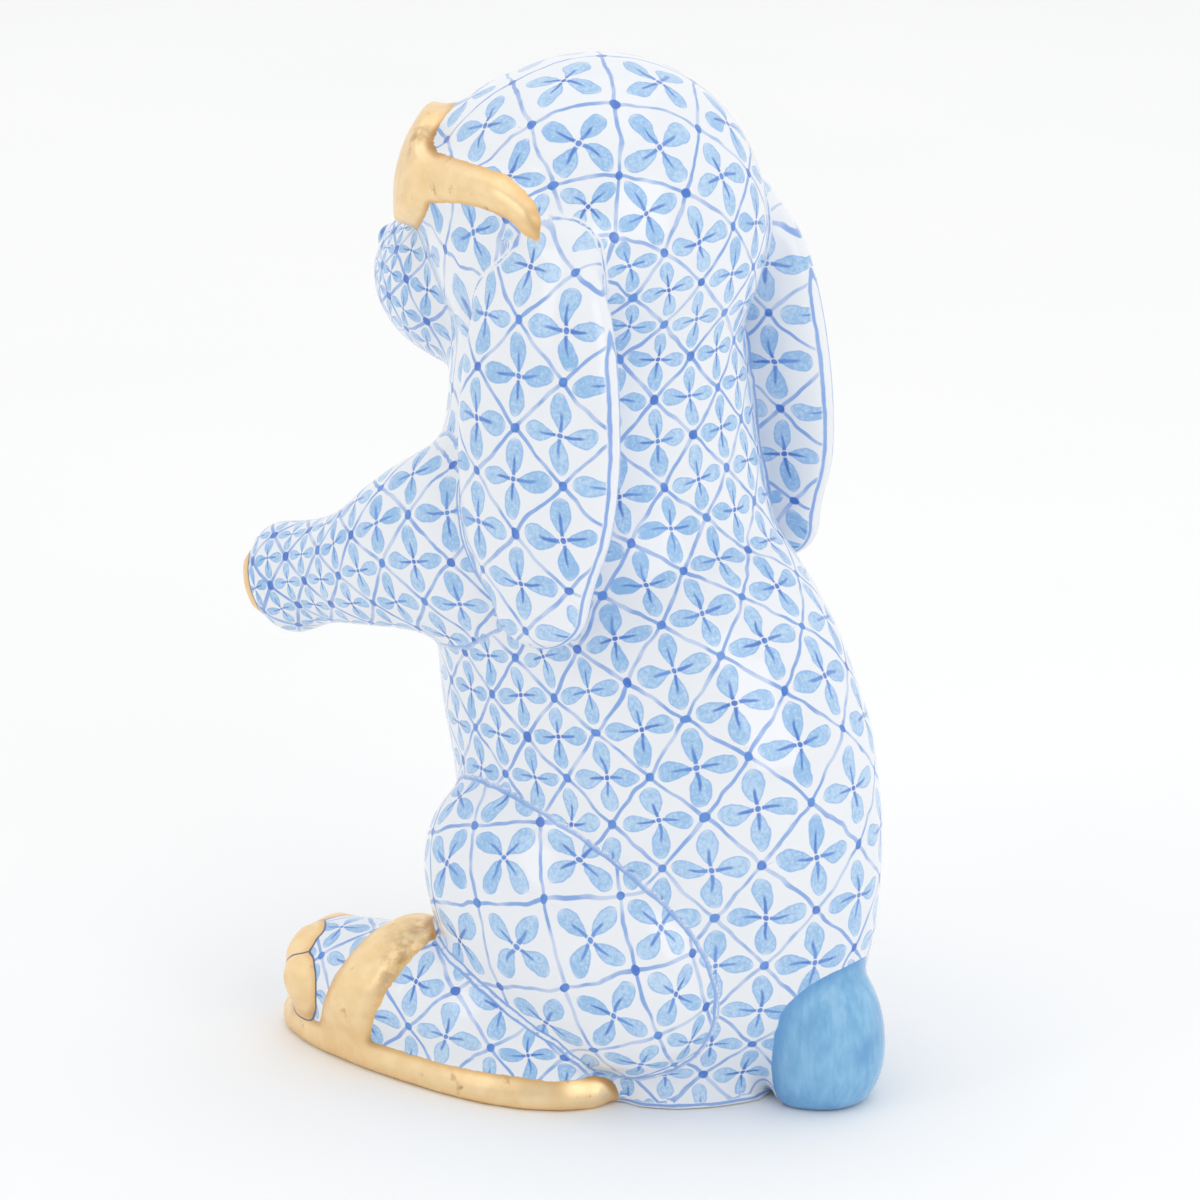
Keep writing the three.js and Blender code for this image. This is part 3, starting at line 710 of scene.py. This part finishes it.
store(skin, "hollow", hollow)
print("hollow from", round(float(hollow.min()), 2), "to", round(float(hollow.max()), 2))

# %% Lay out the map
corners, face_of_corner, starts = face_layout(skin)
votes = np.zeros((len(starts), len(NAMES)), np.int32)
np.add.at(votes, (face_of_corner, owner[corners]), 1)
faces_owner = votes.argmax(axis=1)
faces_map = faces_owner.copy()
middle = np.stack([np.bincount(face_of_corner, skin_points[corners, n]) for n in (0, 2)])
middle /= np.bincount(face_of_corner)
above = np.bincount(face_of_corner, over_ear[corners]) > 0
for name in ears:
    ear, side = NAMES.index(name), 1 if name.endswith("left") else -1
    here = (middle[0] * side > 0) & (middle[1] > 62 * MM) \
        & np.isin(faces_owner, [ear, NAMES.index("head"), NAMES.index(name.replace("ear", "temple"))])
    faces_map[here] = np.where(above[here], ear, NAMES.index("head"))
flow = np.zeros((len(corners), 2))
for index in np.unique(faces_map):
    name, mine = NAMES[index], faces_map[face_of_corner] == index
    used, back = np.unique(corners[mine], return_inverse=True)
    flow[mine] = brush_map(name, skin_points[used])[back]
flow = alike(flow, flow[starts[face_of_corner]])
layer = skin.data.uv_layers.new(name="flow")
layer.data.foreach_set("uv", flow.ravel())

# the pitch compares the size of a face on the skin with its size on the map
a, b = (skin_points[corners[starts + n]] - skin_points[corners[starts]] for n in (1, 2))
real = np.linalg.norm(np.cross(a, b), axis=1)
a, b = (flow[starts + n] - flow[starts] for n in (1, 2))
drawn = np.abs(a[:, 0] * b[:, 1] - a[:, 1] * b[:, 0])
real, drawn = (evened(np.bincount(corners, values[face_of_corner], len(owner)), pairs, 16)
               for values in (real, drawn))
pitch = np.clip(np.sqrt(real / np.maximum(drawn, 1e-12)) / MM, 1.5, 12)
store(skin, "pitch", pitch)
print(f"pitch from {pitch.min():.1f} to {pitch.max():.1f} mm")

# %% [markdown]
# ## Back into sections
# The skin is cut along its joints into one piece for each solid, so that the part stays an assembly. The
# cut edges of two neighbours share their points and the normals of the whole skin, so no line shows where
# they meet. Each piece gets an inner wall, because the real casting is hollow.

# %% Cut the skin
WALL = 0.9 * MM


def cut_apart(piece, faces_owner, names):
    """Splits a skin into pieces by the solid that each face belongs to."""
    mesh = piece.data
    normals = normals_of(piece)
    kept = mesh.attributes.new("skin_normal", "FLOAT_VECTOR", "POINT")
    kept.data.foreach_set("vector", normals.ravel().astype(np.float32))
    mesh.materials.clear()
    for name in names:
        mesh.materials.append(bpy.data.materials.new("cut_" + name))
    mesh.polygons.foreach_set("material_index", faces_owner.astype(np.int32))
    select_only(piece)
    bpy.ops.object.mode_set(mode="EDIT")
    bpy.ops.mesh.select_all(action="SELECT")
    bpy.ops.mesh.separate(type="MATERIAL")
    bpy.ops.object.mode_set(mode="OBJECT")
    pieces = {}
    for part in list(bpy.context.selected_objects):
        index = part.data.polygons[0].material_index
        pieces[part.data.materials[index].name.removeprefix("cut_")] = part
        part.data.materials.clear()
    return pieces


def add_inner_wall(piece):
    """Gives a cut piece of skin its thickness; the inner wall is coarser."""
    piece.vertex_groups.new(name="inside")
    work(piece, "SOLIDIFY", thickness=WALL, offset=-1, shell_vertex_group="inside")
    select_only(piece)
    bpy.ops.object.mode_set(mode="EDIT")
    bpy.ops.mesh.select_all(action="DESELECT")
    bpy.ops.object.vertex_group_select()
    bpy.ops.mesh.decimate(ratio=0.25)
    bpy.ops.object.mode_set(mode="OBJECT")
    piece.vertex_groups.clear()


def keep_normals(piece):
    """Gives the outer faces the normals that the whole skin had, so that cut edges shade as one surface."""
    mesh = piece.data
    mesh.polygons.foreach_set("use_smooth", [True] * len(mesh.polygons))
    wanted, facing = np.empty(len(mesh.vertices) * 3), np.empty(len(mesh.polygons) * 3)
    mesh.attributes["skin_normal"].data.foreach_get("vector", wanted)
    mesh.polygons.foreach_get("normal", facing)
    corners, face_of_corner, _ = face_layout(piece)
    normals = wanted.reshape(-1, 3)[corners]
    outside = (normals * facing.reshape(-1, 3)[face_of_corner]).sum(1) > 0.4
    normals[~outside] = 0
    mesh.normals_split_custom_set(normals.tolist())
    mesh.attributes.remove(mesh.attributes["skin_normal"])


pieces = cut_apart(skin, faces_owner, NAMES)
open_edges = {}
for name, piece in pieces.items():
    piece.name = "fired_" + name
    add_inner_wall(piece)
    keep_normals(piece)
    edge_of_corner = np.empty(len(piece.data.loops), np.int64)
    piece.data.loops.foreach_get("edge_index", edge_of_corner)
    users = np.bincount(edge_of_corner, minlength=len(piece.data.edges))
    open_edges[name] = int((users != 2).sum())
print({name: (len(piece.data.polygons), open_edges[name]) for name, piece in pieces.items()})

# %% [markdown]
# ## Paint recipes
# A finish is written as arithmetic on the surface's values, as a painter would say it: a line is drawn
# where a distance is less than half its width. The small class below lets such sentences be written
# directly.

# %% Arithmetic on sockets
class Value:
    """A number on the surface that can be calculated with."""

    def __init__(self, recipe, socket):
        self.recipe, self.socket = recipe, socket

    def math(self, operation, *others):
        return self.recipe.node("ShaderNodeMath", {"operation": operation}, dict(enumerate((self, *others))))

    def __add__(self, other): return self.math("ADD", other)
    def __radd__(self, other): return self.math("ADD", other)
    def __sub__(self, other): return self.math("SUBTRACT", other)
    def __rsub__(self, other): return (self * -1).math("ADD", other)
    def __mul__(self, other): return self.math("MULTIPLY", other)
    def __rmul__(self, other): return self.math("MULTIPLY", other)
    def __truediv__(self, other): return self.math("DIVIDE", other)
    def __pow__(self, other): return self.math("POWER", other)
    def __abs__(self): return self.math("ABSOLUTE")


class Recipe:
    """One finish: a material with its nodes."""

    def __init__(self, name):
        self.material = bpy.data.materials.new(name)
        self.material.use_nodes = True
        self.tree = self.material.node_tree
        self.tree.nodes.clear()
        self.surface = self.tree.nodes.new("ShaderNodeBsdfPrincipled")
        output = self.tree.nodes.new("ShaderNodeOutputMaterial")
        self.tree.links.new(self.surface.outputs["BSDF"], output.inputs["Surface"])

    def node(self, kind, settings=None, inputs=None, output=0):
        """Adds a node with its settings and inputs and gives one of its outputs."""
        node = self.tree.nodes.new(kind)
        for key, value in (settings or {}).items():
            setattr(node, key, value)
        for key, value in (inputs or {}).items():
            self.fill(node.inputs[key], value)
        return Value(self, node.outputs[output])

    def fill(self, socket, value):
        if isinstance(value, Value):
            self.tree.links.new(value.socket, socket)
        elif value is not None:
            is_colour = socket.type == "RGBA" and len(value) == 3
            socket.default_value = (*value, 1) if is_colour else value

    def set(self, **inputs):
        for key, value in inputs.items():
            self.fill(self.surface.inputs[key.replace("_", " ")], value)

    def attribute(self, name):
        return self.node("ShaderNodeAttribute", {"attribute_name": name}, output="Fac")

    def place(self):
        return self.node("ShaderNodeTexCoord", output="Object")

    def noise(self, size, detail=2.0, rough=0.5, stretch=(1, 1, 1), shift=0.0):
        """Smooth noise between 0 and 1 with blotches of about this size in millimetres."""
        spot = self.vector("MULTIPLY", self.place(), tuple(value / (size * MM) for value in stretch))
        spot = self.vector("ADD", spot, (shift, shift * 1.7, shift * 0.6))
        settings = {"Vector": spot, "Scale": 1.0, "Detail": detail, "Roughness": rough}
        return self.node("ShaderNodeTexNoise", None, settings)

    def vector(self, operation, *values):
        return self.node("ShaderNodeVectorMath", {"operation": operation}, dict(enumerate(values)))

    def step(self, value, low, high):
        """Rises smoothly from 0 at low to 1 at high."""
        return self.node("ShaderNodeMapRange", {"interpolation_type": "SMOOTHSTEP"},
                         {"Value": value, "From Min": low, "From Max": high, "To Min": 0.0, "To Max": 1.0})

    def mix(self, share, first, second):
        return self.node("ShaderNodeMix", {"data_type": "RGBA"}, {0: share, 6: first, 7: second}, output=2)

    def bump(self, height, depth, base=None):
        """Relief of a depth in millimetres."""
        return self.node("ShaderNodeBump", None,
                         {"Height": height, "Distance": depth * MM, "Strength": 1.0, "Normal": base})

# %% [markdown]
# ## White glaze and blue painting
# The porcelain is white under a clear, slightly bluish glaze that pools in the hollows. The trellis is
# drawn freehand with a thin brush: its lines wander, swell and grow pale as the brush empties. Each diamond
# holds a sprig of four soft petals, filled with short strokes of thin colour. All of them take their places
# from the map and their sizes from the pitch, so that a line keeps its width where the diamonds grow small.
# It is a plain pattern of the kind found on any blue-and-white ware.

# %% Colours
def colour(red, green, blue):
    """A colour as it is seen on a screen, for the shader."""
    return tuple(((c / 255 + 0.055) / 1.055) ** 2.4 for c in (red, green, blue))


WHITE, POOL = colour(238, 240, 243), colour(206, 219, 236)
LINE, LINE_DEEP, LINE_PALE = colour(92, 142, 216), colour(58, 110, 198), colour(146, 182, 232)
WASH, WASH_DEEP = colour(178, 212, 242), colour(132, 182, 228)
BROWN, GREY = colour(150, 108, 72), colour(84, 96, 124)

# %% Painted porcelain
DIAGONAL = 0.7071  # half the square root of two, because the trellis crosses the map at 45 degrees


def painted(paint):
    """The colour of the porcelain with its painting."""
    flow = paint.node("ShaderNodeUVMap", {"uv_map": "flow"})
    pitch = paint.attribute("pitch")
    parts = [paint.node("ShaderNodeSeparateXYZ", None, {0: flow}, axis) for axis in (0, 1)]
    u, v = (part + (paint.noise(5, 2, shift=shift) - 0.5) * 0.16 for part, shift in zip(parts, (3.1, 9.7)))
    p, q = ((value.math("FRACT") - 0.5) for value in (u + v, u - v))
    mood = paint.noise(7, 1, shift=21.0)

    # distances in millimetres: from the trellis, from its crossings, and from the middle of the diamond
    near_p, near_q = ((0.5 - abs(value)) * pitch * DIAGONAL for value in (p, q))
    line_gap = near_p.math("MINIMUM", near_q)
    knot_gap = (near_p * near_p + near_q * near_q).math("SQRT")
    size = pitch.math("MINIMUM", 9.4) / PITCH
    turn = (mood - 0.5) * 0.7
    x, y = (p + q) * 0.5 * pitch, (p - q) * 0.5 * pitch
    x, y = (x + turn * y) / size, (y - turn * x) / size

    # lines of the trellis and a dot where they cross
    hand = paint.noise(2.6, 3, 0.6, shift=1.3)
    empty = paint.noise(3.2, 2, shift=5.5)
    width = 0.1 + hand * 0.12
    line = (1 - paint.step(line_gap, width - 0.04, width + 0.06)) * (0.5 + 0.5 * paint.step(empty, 0.34, 0.6))
    dot = 1 - paint.step(knot_gap, 0.26 + hand * 0.2, 0.36 + hand * 0.22)

    # four petals, drawn from the middle outwards
    long, wide = abs(x).math("MAXIMUM", abs(y)), abs(x).math("MINIMUM", abs(y))
    along = ((long - 0.4) / (2.7 + mood * 0.7)).math("MAXIMUM", 0.0).math("MINIMUM", 1.0)
    ragged = (paint.noise(0.8, 2, shift=2.2) - 0.5) * 0.22
    edge = (along ** 0.8) * ((1 - along) ** 0.55) * 2.25 - wide + ragged
    petal = paint.step(edge, -0.02, 0.1)
    border = petal * (1 - paint.step(edge, 0.08, 0.22))
    hair = paint.noise(0.34, 3, 0.7, shift=7.7)
    filled = petal * (1 - paint.step(along + (hair - 0.5) * 0.4, 0.86, 1.1))
    short = 1 - paint.step(along, 0.3 + mood * 0.2, 0.46 + mood * 0.3)
    stroke = (1 - paint.step(wide + along * 0.14, 0.1, 0.24)) * short * paint.step(long, 0.3, 0.4)
    heart = 1 - paint.step((x * x + y * y).math("SQRT"), 0.2, 0.32)

    # lines along the joints and the edges of the ears
    ink = paint.attribute("ink")
    joint = paint.attribute("joint") + (paint.noise(1.5, 2, shift=4.4) - 0.5) * 0.22
    beside = abs(joint - paint.attribute("offset"))
    outline = (1 - paint.step(beside, 0.04 + hand * 0.1, 0.12 + hand * 0.14)) * ink
    rim = paint.attribute("rim") + (paint.noise(1.5, 2, shift=14.4) - 0.5) * 0.2
    outline = outline.math("MAXIMUM", 1 - paint.step(abs(rim), 0.04 + hand * 0.1, 0.12 + hand * 0.14))
    clear = paint.step(joint, 0.2, 0.5).math("MAXIMUM", 1 - ink) * paint.step(rim, 0.1, 0.3)
    clear = clear * paint.step(pitch, 1.9, 2.5) * paint.step(paint.attribute("nose"), 1.9, 2.1)

    white = paint.mix(paint.step(paint.attribute("hollow"), 0.02, 0.3) * 0.7, WHITE, POOL)
    white = paint.mix(paint.noise(9, 2) * 0.2, white, POOL)
    tone = paint.mix(paint.step(hair * 0.7 + mood * 0.3, 0.36, 0.6), WASH, WASH_DEEP)
    result = paint.mix(filled * clear * (0.7 + 0.3 * mood), white, tone)
    result = paint.mix(border * clear * 0.75, result, LINE_PALE)
    ink_tone = paint.mix(paint.step(hand, 0.4, 0.62), LINE, LINE_DEEP)
    lines = (line * clear).math("MAXIMUM", outline)
    result = paint.mix(lines * 0.9, result, paint.mix(empty, LINE_PALE, LINE))
    marks = dot.math("MAXIMUM", stroke * 0.9).math("MAXIMUM", heart) * clear
    result = paint.mix(marks * 0.95, result, ink_tone)
    nose = paint.attribute("nose") + (hand - 0.5) * 0.2
    result = paint.mix(1 - paint.step(nose, 0.9, 1.0), result, tone)
    return paint.mix(1 - paint.step(abs(nose - 1), 0.06, 0.14), result, ink_tone)


# %% [markdown]
# ## Gold and the blue tail
# The gold is a burnished liquid gold over the glaze: warm and satiny, thin and brownish in places, with an
# uneven edge. In the hollows of the skin and round one spot on each lens it is painted darker, as painted
# shade. The tail is washed all over with the same blue, in wide strokes that leave streaks. Where gold or
# blue end, the white shows, so one recipe holds all three, and the stored values tell which of them covers
# a point.

# %% The finish
def finish(name):
    """Glaze, painting, gold and blue, each in its own place."""
    paint = Recipe(name)
    cloud, fine = paint.noise(1.8, 3, 0.55), paint.noise(0.3, 3, 0.6, shift=8.0)
    claw = abs(paint.attribute("claw"))
    worn = paint.attribute("worn")
    ragged = (paint.noise(0.9, 4, 0.65, shift=6.1) - 0.5) * (0.5 + worn * 1.6) * paint.step(claw, 0.5, 1.5)
    gild = paint.step(paint.attribute("gild") + ragged, -0.04, 0.06)
    dye = paint.step(paint.attribute("dye") + ragged * 0.5, -0.06, 0.06)

    brown_patches = paint.step(paint.noise(2.2, 4, 0.6, shift=5.0), 0.62, 0.74)
    gold = paint.mix(paint.step(cloud, 0.3, 0.7), colour(250, 222, 176), colour(243, 211, 160))
    thin = 1 - paint.step(paint.attribute("gild") + ragged, 0.1, 1.0)
    gold = paint.mix(thin * 0.6, gold, colour(226, 180, 116))
    # painted shade: the gold is painted dark brown in the hollows of the skin
    gold = paint.mix(paint.step(paint.attribute("hollow"), 0.0, 0.2) * 0.8, gold, colour(166, 124, 78))
    # brown patches: random stains, the strap's worn patch and the painted shade on the lenses
    brown_patches = brown_patches.math("MAXIMUM", worn * paint.step(paint.noise(1.4, 4, 0.6, shift=15.0), 0.36, 0.6))
    gold = paint.mix(brown_patches * 0.5, gold, BROWN)
    between = 1 - paint.step(abs(paint.attribute("split")), 0.05, 0.16)
    seam = 1 - paint.step(claw, 0.05, 0.16)
    seam = seam.math("MAXIMUM", between * paint.step(paint.attribute("claw"), -0.1, 0.1))

    streaks = paint.noise(0.7, 4, 0.6, stretch=(1, 1, 0.25))
    blue = paint.mix(paint.step(streaks, 0.25, 0.75), colour(116, 174, 216), colour(142, 194, 229))
    deep = paint.step(paint.noise(5, 3, 0.55, shift=4.0), 0.4, 0.7)
    blue = paint.mix(deep * 0.7, blue, colour(92, 152, 204))
    edge = paint.step(paint.attribute("dye"), 1.5, 0.1)
    blue = paint.mix(edge * 0.6, blue, colour(76, 138, 200))

    tone = paint.mix(gild, paint.mix(dye, painted(paint), blue), gold)
    metal = gild * (1 - seam)
    paint.set(Base_Color=paint.mix(seam, tone, GREY), Metallic=metal,
              Roughness=0.12 + cloud * 0.05 + metal * (0.2 + cloud * 0.06 + brown_patches * 0.12),
              Coat_Weight=0.2 * (1 - metal), Coat_Roughness=0.05)
    waves = paint.bump(paint.noise(4.5, 2) * (1 - metal * 0.7), 0.1)
    paint.set(Normal=paint.bump(fine * metal, 0.006, waves))
    return paint.material


FINISHES = {"body_glaze": "painted_porcelain", "gilding": "burnished_gold",
            "tail_glaze": "blue_tail_glaze"}
finishes = {slot: finish(name) for slot, name in FINISHES.items()}
print(len(finishes), "finishes")

# %% [markdown]
# ## Places in the frame
# Each piece rides on the one rigid body and takes the place of its solid.

# %% Attach the pieces
for name, piece in pieces.items():
    slot = "gilding" if name in GILDED else "tail_glaze" if name == "tail" else "body_glaze"
    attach(piece, "root")
    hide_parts(name)
    for mesh in (piece.data, solids[name].data):
        mesh.materials.clear()
        mesh.materials.append(finishes[slot])
print(len(pieces), "pieces attached")

# %% [markdown]
# ## Studio
# The figurine stands on white, in the even light of a tent that is dimmer behind the camera. Three soft
# boxes add the shading: a large one from the right, a narrow one from the left and a broad one from above.

# %% Floor, world and lights
bpy.ops.mesh.primitive_plane_add(size=6)
floor = bpy.context.object
floor.name = "studio_floor"
ground = Recipe("white_paper")
paper = ground.mix(ground.noise(60, 2), colour(251, 251, 250), colour(248, 248, 248))
ground.set(Base_Color=paper, Roughness=0.9)
floor.data.materials.append(ground.material)

world = bpy.data.worlds.new("light_tent")
bpy.context.scene.world = world
world.use_nodes = True
tree = world.node_tree
background = tree.nodes["Background"]
spot = tree.nodes.new("ShaderNodeTexCoord")
toward = tree.nodes.new("ShaderNodeVectorMath")
toward.operation = "DOT_PRODUCT"
toward.inputs[1].default_value = Vector((outwards.x, outwards.y, -0.25)).normalized()
tree.links.new(spot.outputs["Generated"], toward.inputs[0])
fade = tree.nodes.new("ShaderNodeMapRange")
fade.inputs["From Min"].default_value, fade.inputs["From Max"].default_value = -0.1, 1.0
fade.inputs["To Min"].default_value, fade.inputs["To Max"].default_value = 1.0, 0.6
tree.links.new(toward.outputs["Value"], fade.inputs["Value"])
tree.links.new(fade.outputs["Result"], background.inputs["Strength"])
background.inputs["Color"].default_value = (0.99, 0.995, 1, 1)


def softbox(name, spot, size, watts):
    bpy.ops.object.light_add(type="AREA", location=spot)
    light = bpy.context.object
    light.name = name
    light.data.shape = "RECTANGLE"
    light.data.size, light.data.size_y = size
    light.data.energy = watts
    light.rotation_mode = "QUATERNION"
    light.rotation_quaternion = (FOCUS - Vector(spot)).to_track_quat("-Z", "Y")


near = Vector((outwards.x, outwards.y, 0)).normalized()
right, up = Vector((-0.602, 0.799, 0)), Vector((0, 0, 1))
softbox("left_box", FOCUS + near * 0.32 - right * 0.5 + up * 0.3, (0.14, 0.4), 0.22)
softbox("right_box", FOCUS + near * 0.5 + right * 0.35 + up * 0.25, (0.4, 0.4), 0.64)
softbox("top_box", FOCUS - near * 0.1 + up * 0.7, (0.7, 0.7), 0.4)
bpy.context.scene.view_settings.view_transform = "Standard"
bpy.context.scene.view_settings.look = "None"

# %% Sizes
print("solids", [round(v / MM, 2) for v in cad_low], [round(v / MM, 2) for v in cad_high])
